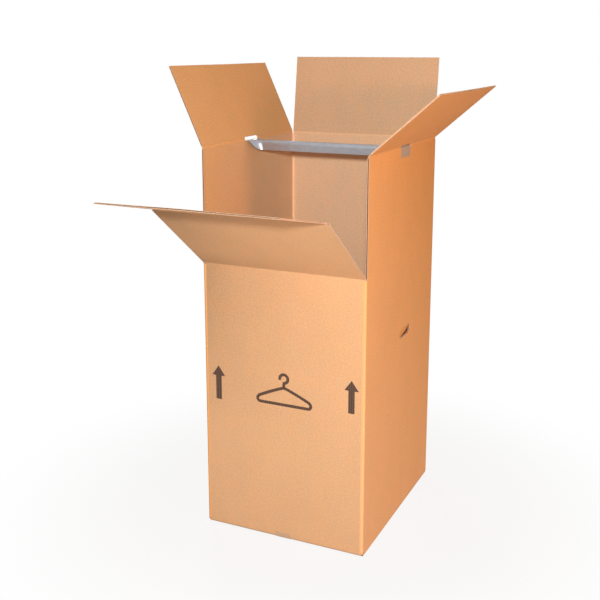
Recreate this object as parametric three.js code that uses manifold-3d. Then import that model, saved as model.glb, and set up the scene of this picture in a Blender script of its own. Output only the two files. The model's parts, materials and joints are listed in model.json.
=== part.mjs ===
// Wardrobe moving box with a drop front and a steel hanger bar.
// Millimetres, +Z up, front towards -Y, origin at the centre of the base.
// It is built as it stands in use: top flaps and drop front folded outwards.
import * as THREE from 'three';
import { mergeVertices } from 'three/addons/utils/BufferGeometryUtils.js';
import Module from 'manifold-3d';

const wasm = await Module();
wasm.setup();

// Carton, outside sizes
const cartonWidth = 516;
const cartonDepth = 618;
const topFoldHeight = 1172;
const dropFoldHeight = 834;
const board = 4;
const cornerRadius = 5;
const innerCornerRadius = 1.5;

// Flaps
const sideFlapLength = 254;
const layerGap = 0.3;
const edgeSetback = 1.5;
const dropCutGap = 0.8;
const dropPanelInset = 0.5;

// Crushed fold lines: two tapered board edges that meet at a thin web
const crushLength = 5;
const webRadius = 0.24;
const webLength = 0.7;
const rootGap = 0.31;
const rootHalf = 0.2;

// Open cut edges: two liners with the fluted paper between them
const linerThickness = 0.55;
const flutePitch = 7.6;
const flutePaper = 0.5;
const fluteDepth = 4;
const edgeGrooveDepth = 2;

// Bead that the crushed liner makes inside each folded corner
const cornerBeadReach = 6.5;
const cornerBeadBulge = 1.2;

// Bottom folds
const bottomBendRadius = 3.5;
const bottomBendInside = 2;
const bottomSeamGap = 2;
const bottomEdgeSetback = 2.6;

// Glued corner
const glueTabWidth = 38;
const glueTabThickness = 3.6;
const glueTabEndInset = 14;
const glueTabSlant = 10;
const glueEdgeGap = 0.4;

// Hand holes
const handHoleLength = 96;
const handHoleHeight = 30;
const handHoleCentre = 594;
const handHoleShift = 26;
const handTabCut = 0.9;
const handTabAngle = 14;
const handTabThickness = 3.2;

// Hanger bar, one bent steel strip
const barSheet = 0.9;
const barStripWidth = 80;
const barCrownHalf = 5;
const barCornerRadius = 9;
const barFlareLength = 42;
const barFlareStart = 6;
const barBendRadius = 2;
const barHookLength = 28;
const barHookGap = 0.8;
const barSeatGap = 0.3;
const barSlotSideGap = 3;
const barSlotReach = 8.5;

// Sealing tape under the bottom seam
const tapeWidth = 48;
const tapeThickness = 0.25;
const tapeGap = 0.1;
const tapeTurnUp = 19;

// How far each flap stands folded outwards, in degrees from its closed wall line
const leftFlapAngle = 24.5;
const rightFlapAngle = 49;
const backFlapAngle = 7.5;
const dropPanelAngle = 52.7;
const frontFlapAngle = 25.3;

// Derived places
const halfBoard = board / 2;
const halfWidth = cartonWidth / 2;
const halfDepth = cartonDepth / 2;
const layerStep = board + layerGap;
const endFoldHeight = topFoldHeight - layerStep;
const endFlapLength = sideFlapLength + layerStep;
const sideFlapWidth = cartonDepth - 2 * (board + edgeSetback);
const endFlapWidth = cartonWidth - 2 * (board + edgeSetback);
const dropPanelLength = endFoldHeight - dropFoldHeight;
const dropPanelWidth = cartonWidth - 2 * dropPanelInset;
const sideFrontEdge = -halfDepth + board + dropCutGap;
const barTop = topFoldHeight - halfBoard - layerGap;
const barMiddle = barTop - barSheet / 2;
const barSlotHalf = barStripWidth / 2 + barSlotSideGap;
const barSlotBottom = barTop - barSheet - barSeatGap;

const degrees = Math.PI / 180;

// Materials
const kraftOutside = { color: 0xd9a06b, roughness: 0.86, metalness: 0 };
const kraftInside = { color: 0xcfa077, roughness: 0.88, metalness: 0 };
const steel = { color: 0xa7a9ae, roughness: 0.34, metalness: 0.9 };
const tapeFilm = { color: 0xb98f63, roughness: 0.3, metalness: 0 };

// Solids

function toSolid(geometry) {
  geometry.deleteAttribute('normal');
  geometry.deleteAttribute('uv');
  const merged = mergeVertices(geometry, 1e-4);
  return new wasm.Manifold(new wasm.Mesh({
    numProp: 3,
    vertProperties: new Float32Array(merged.attributes.position.array),
    triVerts: new Uint32Array(merged.index.array),
  }));
}

function toGeometry(solid) {
  const mesh = solid.getMesh();
  const geometry = new THREE.BufferGeometry();
  geometry.setAttribute('position', new THREE.BufferAttribute(mesh.vertProperties, 3));
  geometry.setIndex(new THREE.BufferAttribute(mesh.triVerts, 1));
  geometry.computeVertexNormals();
  return geometry;
}

function extrude(shape, depth, matrix) {
  const geometry = new THREE.ExtrudeGeometry(shape, {
    depth,
    bevelEnabled: false,
    curveSegments: 6,
  });
  geometry.applyMatrix4(matrix);
  return toSolid(geometry);
}

const xAxis = new THREE.Vector3(1, 0, 0);
const yAxis = new THREE.Vector3(0, 1, 0);
const zAxis = new THREE.Vector3(0, 0, 1);

// A shape drawn in (y, z), run along x from start to end
function alongX(shape, start, end) {
  const matrix = new THREE.Matrix4().makeBasis(yAxis, zAxis, xAxis).setPosition(start, 0, 0);
  return extrude(shape, end - start, matrix);
}

// A shape drawn in (x, z), run along y from start to end
function alongY(shape, start, end) {
  const matrix = new THREE.Matrix4().makeBasis(xAxis, zAxis, yAxis.clone().negate());
  return extrude(shape, end - start, matrix.setPosition(0, end, 0));
}

// A shape drawn in (x, y), run along z from start to end
function alongZ(shape, start, end) {
  return extrude(shape, end - start, new THREE.Matrix4().makeTranslation(0, 0, start));
}

function block(x, y, z) {
  const geometry = new THREE.BoxGeometry(x[1] - x[0], y[1] - y[0], z[1] - z[0]);
  geometry.translate((x[0] + x[1]) / 2, (y[0] + y[1]) / 2, (z[0] + z[1]) / 2);
  return toSolid(geometry);
}

function polygon(points) {
  return new THREE.Shape(points.map(([a, b]) => new THREE.Vector2(a, b)));
}

function roundedRectangle(halfX, halfY, radius) {
  const shape = new THREE.Shape();
  shape.moveTo(halfX, -halfY + radius);
  shape.lineTo(halfX, halfY - radius);
  shape.absarc(halfX - radius, halfY - radius, radius, 0, Math.PI / 2, false);
  shape.lineTo(-halfX + radius, halfY);
  shape.absarc(-halfX + radius, halfY - radius, radius, Math.PI / 2, Math.PI, false);
  shape.lineTo(-halfX, -halfY + radius);
  shape.absarc(-halfX + radius, -halfY + radius, radius, Math.PI, Math.PI * 1.5, false);
  shape.lineTo(halfX - radius, -halfY);
  shape.absarc(halfX - radius, -halfY + radius, radius, Math.PI * 1.5, Math.PI * 2, false);
  return shape;
}

// Folds
// Each fold line has its middle, its height and the turn that brings -Y to its outward side.

const folds = {
  left: { x: -halfWidth + halfBoard, y: 0, z: topFoldHeight, turn: -90 },
  right: { x: halfWidth - halfBoard, y: 0, z: topFoldHeight, turn: 90 },
  back: { x: 0, y: halfDepth - halfBoard, z: endFoldHeight, turn: 180 },
  drop: { x: 0, y: -halfDepth + halfBoard, z: dropFoldHeight, turn: 0 },
};

function foldMatrix(fold) {
  const matrix = new THREE.Matrix4().makeRotationZ(fold.turn * degrees);
  return matrix.setPosition(fold.x, fold.y, fold.z);
}

// Board profile in (thickness, length), from below its fold line up to the rounded web
function wallTopShape(below) {
  const shape = new THREE.Shape();
  shape.moveTo(halfBoard, -below);
  shape.lineTo(halfBoard, -crushLength);
  shape.lineTo(webRadius, -webLength);
  shape.absarc(0, 0, webRadius, 0, Math.PI, false);
  shape.lineTo(-webRadius, -webLength);
  shape.lineTo(-halfBoard, -crushLength);
  shape.lineTo(-halfBoard, -below);
  return shape;
}

// Board profile from the crushed root of a flap to its free edge
function flapShape(length) {
  return polygon([
    [-rootHalf, webRadius + rootGap],
    [rootHalf, webRadius + rootGap],
    [halfBoard, crushLength],
    [halfBoard, length],
    [-halfBoard, length],
    [-halfBoard, crushLength],
  ]);
}

// Board profile with a crushed root and a second fold line at its far end
function panelShape(length) {
  const shape = new THREE.Shape();
  shape.moveTo(-rootHalf, webRadius + rootGap);
  shape.lineTo(rootHalf, webRadius + rootGap);
  shape.lineTo(halfBoard, crushLength);
  shape.lineTo(halfBoard, length - crushLength);
  shape.lineTo(webRadius, length - webLength);
  shape.absarc(0, length, webRadius, 0, Math.PI, false);
  shape.lineTo(-webRadius, length - webLength);
  shape.lineTo(-halfBoard, length - crushLength);
  shape.lineTo(-halfBoard, crushLength);
  return shape;
}

// The openings of the flutes at a free edge: triangles above and below the folded paper
function flutePockets(width, length) {
  const inner = halfBoard - linerThickness;
  const halfPitch = flutePitch / 2;
  const slope = 2 * inner / halfPitch;
  const drop = flutePaper * Math.hypot(1, slope);
  const shoulder = drop / slope / 2;
  const count = Math.floor((width - 2 * edgeGrooveDepth - flutePitch) / flutePitch);
  const start = -count * halfPitch;
  const shapes = [];
  for (let i = 0; i < 2 * count - 1; i += 1) {
    const middle = start + (i + 1) * halfPitch;
    const side = i % 2 === 0 ? 1 : -1;
    const corners = [
      [middle - halfPitch + shoulder, side * inner],
      [middle, side * (drop - inner)],
      [middle + halfPitch - shoulder, side * inner],
    ];
    shapes.push(polygon(side > 0 ? corners : corners.reverse()));
  }
  const matrix = new THREE.Matrix4().makeTranslation(0, 0, length - fluteDepth);
  return extrude(shapes, 2 * fluteDepth, matrix);
}

// The groove along an edge that is cut beside a flute, from start to end away from the fold
function sideGrooves(width, start, end) {
  const inner = halfBoard - linerThickness;
  const half = width / 2;
  const groove = block([half - edgeGrooveDepth, half + edgeGrooveDepth], [-inner, inner], [start, end]);
  return groove.add(groove.mirror([1, 0, 0]));
}

// The cut through a side wall or flap that lets the hook of the bar pass
function hookSlot(bottom, top) {
  return block([-barSlotHalf, barSlotHalf], [-board, board], [bottom, top]);
}

// Carton

function cartonRing(bottom, top) {
  const outside = roundedRectangle(halfWidth, halfDepth, cornerRadius);
  const inside = roundedRectangle(halfWidth - board, halfDepth - board, innerCornerRadius);
  outside.holes.push(inside);
  return alongZ(outside, bottom, top);
}

// Left or right wall foot with the outer bottom flap folded in under the box
function sideFoot(top) {
  const shape = new THREE.Shape();
  const inner = -halfWidth + board;
  shape.moveTo(-halfWidth, top);
  shape.lineTo(-halfWidth, bottomBendRadius);
  shape.absarc(-halfWidth + bottomBendRadius, bottomBendRadius, bottomBendRadius, Math.PI, Math.PI * 1.5, false);
  shape.lineTo(-bottomSeamGap / 2, 0);
  shape.lineTo(-bottomSeamGap / 2, board);
  shape.lineTo(inner + bottomBendInside, board);
  shape.absarc(inner + bottomBendInside, board + bottomBendInside, bottomBendInside, Math.PI * 1.5, Math.PI, true);
  shape.lineTo(inner, top);
  const reach = halfDepth - board - bottomEdgeSetback;
  return alongY(shape, -reach, reach);
}

// Front or back wall foot with the inner bottom flap folded in above the outer pair
function endFoot(top) {
  const shape = new THREE.Shape();
  const low = layerStep;
  const inner = -halfDepth + board;
  const end = -halfDepth + halfBoard + endFlapLength;
  shape.moveTo(-halfDepth, top);
  shape.lineTo(-halfDepth, low + bottomBendRadius);
  shape.absarc(
    -halfDepth + bottomBendRadius, low + bottomBendRadius, bottomBendRadius, Math.PI, Math.PI * 1.5, false);
  shape.lineTo(end, low);
  shape.lineTo(end, low + board);
  shape.lineTo(inner + bottomBendInside, low + board);
  shape.absarc(
    inner + bottomBendInside, low + board + bottomBendInside, bottomBendInside, Math.PI * 1.5, Math.PI, true);
  shape.lineTo(inner, top);
  return alongX(shape, -endFlapWidth / 2, endFlapWidth / 2);
}

// Top of one wall, from a little under its crush up to its fold line
function wallTop(fold, width, below) {
  return alongX(wallTopShape(below), -width / 2, width / 2).transform(foldMatrix(fold).elements);
}

// The glued corner is at the back right: a tab of the back wall inside the right wall
function glueTab(top) {
  const inner = halfDepth - board;
  const shape = polygon([
    [inner + halfBoard, glueTabEndInset],
    [inner, glueTabEndInset],
    [inner - glueTabWidth, glueTabEndInset + glueTabSlant],
    [inner - glueTabWidth, top - glueTabEndInset - glueTabSlant],
    [inner, top - glueTabEndInset],
    [inner + halfBoard, top - glueTabEndInset],
  ]);
  const face = halfWidth - board;
  return alongX(shape, face - glueTabThickness, face + layerGap / 2);
}

// Free raw edge of the right wall beside the rounded bend of the back wall
function glueCornerCut() {
  const face = halfWidth - board;
  const edge = halfDepth - board - glueEdgeGap;
  const shape = new THREE.Shape();
  shape.moveTo(face, edge);
  shape.lineTo(halfWidth + board, edge);
  shape.lineTo(halfWidth + board, halfDepth + board);
  shape.lineTo(face - cornerRadius, halfDepth + board);
  shape.lineTo(face - cornerRadius, halfDepth);
  shape.absarc(face - cornerRadius + 1, halfDepth - cornerRadius + 1, cornerRadius - 1, Math.PI / 2, 0, true);
  return alongZ(shape, -board, topFoldHeight + board);
}

// Hand hole outline in (y, z) about its own centre
function handHoleShape(inset) {
  const radius = handHoleHeight / 2 - inset;
  const straight = handHoleLength / 2 - handHoleHeight / 2;
  const shape = new THREE.Shape();
  shape.moveTo(-straight, -radius);
  shape.lineTo(straight, -radius);
  shape.absarc(straight, 0, radius, -Math.PI / 2, Math.PI / 2, false);
  shape.lineTo(-straight, radius);
  shape.absarc(-straight, 0, radius, Math.PI / 2, Math.PI * 1.5, false);
  return shape;
}

// The die-cut tab, swung a little inwards on its uncut upper edge; side is -1 left, 1 right
function handTab(side) {
  const top = handHoleHeight / 2;
  const straight = handHoleLength / 2 - handHoleHeight / 2;
  const tab = alongX(handHoleShape(handTabCut), -handTabThickness, 0);
  const swing = new THREE.Matrix4().makeTranslation(0, 0, top)
    .multiply(new THREE.Matrix4().makeRotationY(handTabAngle * degrees))
    .multiply(new THREE.Matrix4().makeTranslation(0, 0, -top));
  const web = block([-handTabThickness, 0], [-straight, straight], [top - 2 * handTabCut, top + handTabCut]);
  const face = new THREE.Matrix4().makeTranslation(halfWidth - layerGap, handHoleShift, handHoleCentre);
  const flip = new THREE.Matrix4().makeScale(side, 1, 1);
  return tab.transform(swing.elements).add(web).transform(flip.multiply(face).elements);
}

function handHoleCut(side) {
  const outside = side * (halfWidth + board);
  const inside = side * (halfWidth - 2 * board);
  const cut = alongX(handHoleShape(0), Math.min(outside, inside), Math.max(outside, inside));
  return cut.translate([0, handHoleShift, handHoleCentre]);
}

// The bead inside a folded corner; sideX and sideY point to the corner
function cornerBead(sideX, sideY, bottom, top) {
  const x = sideX * (halfWidth - board);
  const y = sideY * (halfDepth - board);
  const reach = cornerBeadReach;
  const middle = reach / 2 + cornerBeadBulge;
  const sunk = board / 4;
  const points = [
    [x - sideX * reach, y],
    [x - sideX * middle, y - sideY * middle],
    [x, y - sideY * reach],
    [x + sideX * sunk, y - sideY * reach],
    [x + sideX * sunk, y + sideY * sunk],
    [x - sideX * reach, y + sideY * sunk],
  ];
  return alongZ(polygon(sideX * sideY > 0 ? points.reverse() : points), bottom, top);
}

function carton() {
  const footTop = layerStep + board + bottomBendInside + board;
  const cornerFoot = layerStep + bottomBendRadius;
  const dropCrush = dropFoldHeight - crushLength;
  const endCrush = endFoldHeight - crushLength;
  const sideCrush = topFoldHeight - crushLength;
  const overlap = halfBoard;

  let solid = cartonRing(cornerFoot, dropCrush);
  const frontCut = block(
    [-cartonWidth, cartonWidth], [-cartonDepth, sideFrontEdge], [0, topFoldHeight + board]);
  solid = solid.add(cartonRing(dropCrush - overlap, endCrush).subtract(frontCut));

  // Feet and folded bottom flaps
  const left = sideFoot(footTop);
  const front = endFoot(footTop);
  solid = solid.add(left).add(left.mirror([1, 0, 0]));
  solid = solid.add(front).add(front.mirror([0, 1, 0]));

  // Wall tops under each fold line
  const sideBelow = topFoldHeight - endCrush + overlap;
  const sideWidth = sideFlapWidth;
  solid = solid.add(wallTop(folds.left, sideWidth, sideBelow));
  solid = solid.add(wallTop(folds.right, sideWidth, sideBelow));
  solid = solid.add(wallTop(folds.back, endFlapWidth, crushLength + overlap));
  const outline = alongZ(roundedRectangle(halfWidth, halfDepth, cornerRadius), 0, topFoldHeight);
  solid = solid.add(wallTop(folds.drop, cartonWidth, crushLength + overlap).intersect(outline));

  // Slots for the hooks of the bar, hand holes, glued corner and the tape's bed
  for (const fold of [folds.left, folds.right]) {
    const slot = hookSlot(barSlotBottom - topFoldHeight, board);
    solid = solid.subtract(slot.transform(foldMatrix(fold).elements));
  }
  solid = solid.subtract(glueCornerCut()).add(glueTab(endCrush));

  // Beads in the three folded corners, and the open groove of both front cut edges
  const beadFoot = footTop;
  solid = solid.add(cornerBead(-1, 1, beadFoot, endCrush));
  solid = solid.add(cornerBead(-1, -1, beadFoot, dropCrush));
  solid = solid.add(cornerBead(1, -1, beadFoot, dropCrush));
  const wallMiddle = halfWidth - halfBoard;
  const gap = halfBoard - linerThickness;
  const frontGroove = block(
    [wallMiddle - gap, wallMiddle + gap],
    [sideFrontEdge - edgeGrooveDepth, sideFrontEdge + edgeGrooveDepth],
    [dropFoldHeight + crushLength, endCrush - crushLength]);
  solid = solid.subtract(frontGroove).subtract(frontGroove.mirror([1, 0, 0]));
  for (const side of [-1, 1]) {
    solid = solid.subtract(handHoleCut(side)).add(handTab(side));
  }
  const bed = tapeWidth / 2 + tapeGap;
  return solid.subtract(block([-bed, bed], [-cartonDepth, cartonDepth], [-1, tapeThickness + tapeGap]));
}

// Flaps, each in its own hinge frame: x along the fold, z away from it

// A flap's cut edges: open flutes at its far end, a groove at both sides
function openEdges(flap, width, length) {
  return flap.subtract(flutePockets(width, length)).subtract(sideGrooves(width, 2 * crushLength, 2 * length));
}

function sideFlap() {
  const flap = alongX(flapShape(sideFlapLength), -sideFlapWidth / 2, sideFlapWidth / 2);
  return openEdges(flap, sideFlapWidth, sideFlapLength).subtract(hookSlot(-board, barSlotReach));
}

function endFlap() {
  const flap = alongX(flapShape(endFlapLength), -endFlapWidth / 2, endFlapWidth / 2);
  return openEdges(flap, endFlapWidth, endFlapLength);
}

function dropPanel() {
  const panel = alongX(panelShape(dropPanelLength), -dropPanelWidth / 2, dropPanelWidth / 2);
  return panel.subtract(sideGrooves(dropPanelWidth, 2 * crushLength, dropPanelLength - 2 * crushLength));
}

// Tape

function bottomTape() {
  const outer = halfDepth + tapeGap + tapeThickness;
  const turn = layerStep + bottomBendRadius - tapeThickness;
  const top = tapeTurnUp;
  const shape = new THREE.Shape();
  shape.moveTo(-outer, top);
  shape.lineTo(-outer, turn);
  shape.absarc(-outer + turn, turn, turn, Math.PI, Math.PI * 1.5, false);
  shape.lineTo(outer - turn, 0);
  shape.absarc(outer - turn, turn, turn, Math.PI * 1.5, Math.PI * 2, false);
  shape.lineTo(outer, top);
  shape.lineTo(outer - tapeThickness, top);
  shape.lineTo(outer - tapeThickness, turn);
  shape.absarc(outer - turn, turn, turn - tapeThickness, 0, -Math.PI / 2, true);
  shape.lineTo(-outer + turn, tapeThickness);
  shape.absarc(-outer + turn, turn, turn - tapeThickness, Math.PI * 1.5, Math.PI, true);
  shape.lineTo(-outer + tapeThickness, top);
  return alongX(shape, -tapeWidth / 2, tapeWidth / 2);
}

// Hanger bar

// Half of the strip's section, from its crown line out to its edge, as (across, down) points.
// The strip keeps its developed width while the fold closes from flat (0) to a channel (1).
function stripSection(closing) {
  const arcLength = barCornerRadius * Math.PI / 2;
  const leg = barStripWidth / 2 - barCrownHalf - arcLength;
  const angle = Math.max(closing, 0.001) * Math.PI / 2;
  const radius = arcLength / angle;
  const points = [{ across: 0, down: 0, angle: 0 }];
  const arcSteps = 6;
  for (let i = 0; i <= arcSteps; i += 1) {
    const a = angle * i / arcSteps;
    points.push({
      across: barCrownHalf + radius * Math.sin(a),
      down: radius * (1 - Math.cos(a)),
      angle: a,
    });
  }
  const last = points[points.length - 1];
  points.push({
    across: last.across + leg * Math.cos(angle),
    down: last.down + leg * Math.sin(angle),
    angle,
  });
  return points;
}

// Stations along the bar from the left hook's end to the middle: place, heading and closing
function barStations() {
  const tabX = -halfWidth - barHookGap - barSheet / 2;
  const bendX = tabX + barBendRadius;
  const bendZ = barMiddle - barBendRadius;
  const stations = [{ x: tabX, z: bendZ - barHookLength, heading: 90, closing: 0 }];
  const bendSteps = 6;
  for (let i = 0; i <= bendSteps; i += 1) {
    const turn = 90 * i / bendSteps;
    stations.push({
      x: bendX - barBendRadius * Math.cos(turn * degrees),
      z: bendZ + barBendRadius * Math.sin(turn * degrees),
      heading: 90 - turn,
      closing: 0,
    });
  }
  const flareStart = -halfWidth + board + barFlareStart;
  const flareSteps = 10;
  for (let i = 0; i <= flareSteps; i += 1) {
    const share = i / flareSteps;
    const closing = share * share * (3 - 2 * share);
    stations.push({ x: flareStart + barFlareLength * share, z: barMiddle, heading: 0, closing });
  }
  return stations;
}

function mirroredStation(station) {
  return { ...station, x: -station.x, heading: -station.heading };
}

function hangerBar() {
  const left = barStations();
  const stations = [...left, ...left.slice().reverse().map(mirroredStation)];
  const rows = stations.map((station) => {
    const half = stripSection(station.closing);
    const section = [
      ...half.slice(1).reverse().map((p) => ({ across: -p.across, down: p.down, angle: -p.angle })),
      ...half,
    ];
    const up = new THREE.Vector3(-Math.sin(station.heading * degrees), 0, Math.cos(station.heading * degrees));
    const place = (p, lift) => new THREE.Vector3(station.x, 0, station.z)
      .addScaledVector(up, -p.down + lift * Math.cos(p.angle))
      .addScaledVector(yAxis, p.across + lift * Math.sin(p.angle));
    const outer = section.map((p) => place(p, barSheet / 2));
    const inner = section.map((p) => place(p, -barSheet / 2)).reverse();
    return [...outer, ...inner];
  });

  // A closed skin: loops joined along the bar, with both ends capped strip by strip
  const count = rows[0].length;
  const positions = rows.flat().flatMap((p) => [p.x, p.y, p.z]);
  const index = [];
  for (let i = 0; i < rows.length - 1; i += 1) {
    for (let j = 0; j < count; j += 1) {
      const a = i * count + j;
      const b = i * count + (j + 1) % count;
      const c = a + count;
      const d = b + count;
      index.push(a, c, b, b, c, d);
    }
  }
  const last = (rows.length - 1) * count;
  for (let j = 0; j < count / 2 - 1; j += 1) {
    const k = count - 1 - j;
    index.push(j, j + 1, k, j + 1, k - 1, k);
    index.push(last + j, last + k, last + j + 1, last + j + 1, last + k, last + k - 1);
  }
  const geometry = new THREE.BufferGeometry();
  geometry.setAttribute('position', new THREE.Float32BufferAttribute(positions, 3));
  geometry.setIndex(index);
  return toSolid(geometry);
}

// Assembly

function piece(name, solid, finish) {
  const mesh = new THREE.Mesh(toGeometry(solid), new THREE.MeshStandardMaterial(finish));
  mesh.name = name;
  return mesh;
}

// A flap turned outwards about its fold line
function hinged(mesh, fold, angle) {
  const wall = new THREE.Group();
  wall.position.set(fold.x, fold.y, fold.z);
  wall.rotation.z = fold.turn * degrees;
  const swing = new THREE.Group();
  swing.rotation.x = angle * degrees;
  swing.add(mesh);
  wall.add(swing);
  return { wall, swing };
}

const model = new THREE.Group();
model.add(piece('carton', carton(), kraftOutside));
model.add(piece('bottom_tape', bottomTape(), tapeFilm));
model.add(piece('hanger_bar', hangerBar(), steel));
model.add(hinged(piece('left_top_flap', sideFlap(), kraftInside), folds.left, leftFlapAngle).wall);
model.add(hinged(piece('right_top_flap', sideFlap(), kraftOutside), folds.right, rightFlapAngle).wall);
model.add(hinged(piece('back_top_flap', endFlap(), kraftInside), folds.back, backFlapAngle).wall);

const drop = hinged(piece('front_drop_panel', dropPanel(), kraftOutside), folds.drop, dropPanelAngle);
const frontFold = { x: 0, y: 0, z: dropPanelLength, turn: 0 };
drop.swing.add(hinged(piece('front_top_flap', endFlap(), kraftOutside), frontFold, frontFlapAngle).wall);
model.add(drop.wall);

export default model;
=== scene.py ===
"""Wardrobe moving box: board, folds, steel bar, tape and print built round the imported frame."""
import json
import math

import bpy
import numpy as np
from bpy.props import FloatProperty, FloatVectorProperty, PointerProperty
from bpy.types import Operator, Panel, PropertyGroup
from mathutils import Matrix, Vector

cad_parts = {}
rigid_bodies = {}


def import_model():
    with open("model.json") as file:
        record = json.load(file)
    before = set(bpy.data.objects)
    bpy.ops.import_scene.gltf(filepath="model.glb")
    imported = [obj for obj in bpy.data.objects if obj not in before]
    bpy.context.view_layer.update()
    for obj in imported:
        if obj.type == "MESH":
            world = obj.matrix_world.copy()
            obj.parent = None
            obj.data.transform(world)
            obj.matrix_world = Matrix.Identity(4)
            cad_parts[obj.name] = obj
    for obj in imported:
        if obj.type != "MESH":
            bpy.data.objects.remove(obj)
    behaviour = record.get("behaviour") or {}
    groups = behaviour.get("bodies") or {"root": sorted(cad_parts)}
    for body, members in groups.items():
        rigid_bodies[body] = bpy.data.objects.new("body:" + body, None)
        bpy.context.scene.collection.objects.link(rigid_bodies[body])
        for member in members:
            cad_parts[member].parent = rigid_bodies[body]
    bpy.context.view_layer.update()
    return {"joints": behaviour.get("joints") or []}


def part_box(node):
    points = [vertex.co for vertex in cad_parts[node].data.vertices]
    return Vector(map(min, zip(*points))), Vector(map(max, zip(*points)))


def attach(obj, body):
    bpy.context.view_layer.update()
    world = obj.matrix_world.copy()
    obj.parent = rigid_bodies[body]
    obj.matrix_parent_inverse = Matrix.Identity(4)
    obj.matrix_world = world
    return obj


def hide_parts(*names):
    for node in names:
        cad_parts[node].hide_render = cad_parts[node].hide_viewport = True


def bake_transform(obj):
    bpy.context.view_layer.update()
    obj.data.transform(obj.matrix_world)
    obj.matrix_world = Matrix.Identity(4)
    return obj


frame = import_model()

bl_info = {
    "name": "Wardrobe moving box",
    "version": (1, 0, 0),
    "blender": (4, 5, 0),
    "location": "View3D > Sidebar > Moving box",
    "description": "Corrugated wardrobe carton with a drop front and a steel hanger bar",
    "category": "Object",
}

MM = 0.001

# Sizes of the carton, in metres, as the frame has them
HALF_WIDTH, HALF_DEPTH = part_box("carton")[1][:2]
TOP_FOLD = 1172 * MM
END_FOLD = 1167.7 * MM
DROP_FOLD = 834 * MM
CRUSH = 5 * MM
LAYER = 4.3 * MM
SIDE_FLAP_HALF = 303.5 * MM
END_FLAP_HALF = 252.5 * MM
SIDE_FLAP_LENGTH = 254 * MM
END_FLAP_LENGTH = 258.3 * MM
PANEL_HALF = 257.5 * MM
PANEL_LENGTH = END_FOLD - DROP_FOLD
SLOT_HALF = 43 * MM
SLOT_REACH = 8.5 * MM
SLOT_FLOOR = 1168.5 * MM

# How far each fold turns outwards at its limit, from which its angle at rest follows
WALL_FOLD_LIMIT = 135
PANEL_FOLD_LIMIT = 100

# Where the paper texture starts on the flaps, the hand-hole tabs and the board round the hand holes
FLAP_PAPER = 0.4
TAB_PAPER = 3.0
PATCH_PAPER = 2.0


def linear(*levels):
    """A colour written in 0-255 display levels, as the linear colour that a shader takes."""
    share = np.array(levels[:3], float) / 255
    return tuple(np.where(share <= 0.04045, share / 12.92, ((share + 0.055) / 1.055) ** 2.4)) + (1.0,)


# Settings


def length_setting(name, millimetres, description):
    """A setting for a length, which the panel shows in the scene's units."""
    return FloatProperty(name=name, description=description, default=millimetres * MM, unit="LENGTH")


def colour_setting(name, levels, description):
    """A setting for a colour, from its 0-255 display levels."""
    return FloatVectorProperty(
        name=name, description=description, subtype="COLOR", size=4, default=linear(*levels))


class BoxSizes(PropertyGroup):
    """Sizes of the board and of what is printed and taped on it."""

    board: length_setting("Board", 4, "Thickness of the corrugated board")
    liner: length_setting("Liner", 0.55, "Thickness of the paper at each face")
    pitch: length_setting("Flute pitch", 7.6, "Distance between two flutes")
    recess: length_setting("Open edge", 2.6, "Depth to which a cut edge lies open")
    corner: length_setting("Corner radius", 5, "Outer radius of the upright corners")
    bead: length_setting("Corner bead", 6.5, "Reach of the bead in each inner corner")
    wave: length_setting("Wall wave", 1.1, "How far the walls stand out of flat")
    tape_width: length_setting("Tape width", 48, "Width of the sealing tape")
    steel: length_setting("Bar sheet", 0.9, "Thickness of the hanger bar's strip")


class BoxColours(PropertyGroup):
    """Colours of the finishes."""

    # The warm colours are painted warm light: the kraft as the orange side light shows it
    kraft: colour_setting("Kraft", (214, 169, 127), "Outer liner where it looks pale")
    warm_kraft: colour_setting("Warm kraft", (237, 163, 88), "Outer liner where it looks orange")
    inner_kraft: colour_setting("Inner kraft", (229, 189, 152), "Inner liner where it looks pale")
    inner_warm: colour_setting("Inner warm kraft", (227, 165, 100), "Inner liner where it looks orange")
    cut: colour_setting("Cut edge", (232, 204, 180), "Bare paper at the cut edges")
    medium: colour_setting("Fluting", (222, 182, 142), "Fluted paper between the liners")
    hollow: colour_setting("Hollow", (104, 72, 50), "Shaded inside of the flutes")
    ink: colour_setting("Ink", (78, 58, 48), "Print on the front")
    tape: colour_setting("Tape", (190, 158, 128), "Sealing tape")
    steel: colour_setting("Steel", (168, 170, 177), "Galvanised sheet of the bar")
    dust: colour_setting("Paper dust", (182, 152, 124), "What has rubbed off on the bar's hooks")


# Shader trees


class Sock:
    """A socket in a shader tree that takes part in sums: each operation adds a Math node."""

    def __init__(self, shader, socket):
        self.shader = shader
        self.socket = socket

    def _math(self, operation, *values):
        return self.shader.node("ShaderNodeMath", {"operation": operation}, dict(enumerate(values)))

    def __add__(self, other):
        return self._math("ADD", self, other)

    def __radd__(self, other):
        return self._math("ADD", other, self)

    def __sub__(self, other):
        return self._math("SUBTRACT", self, other)

    def __rsub__(self, other):
        return self._math("SUBTRACT", other, self)

    def __mul__(self, other):
        return self._math("MULTIPLY", self, other)

    def __rmul__(self, other):
        return self._math("MULTIPLY", other, self)

    def sin(self):
        return self._math("SINE", self)

    def step(self, low, high):
        """0 below low, 1 above high, smooth between; high may be the smaller one."""
        return self.shader.node(
            "ShaderNodeMapRange", {"interpolation_type": "SMOOTHSTEP"}, {0: self, 1: low, 2: high})


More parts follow.
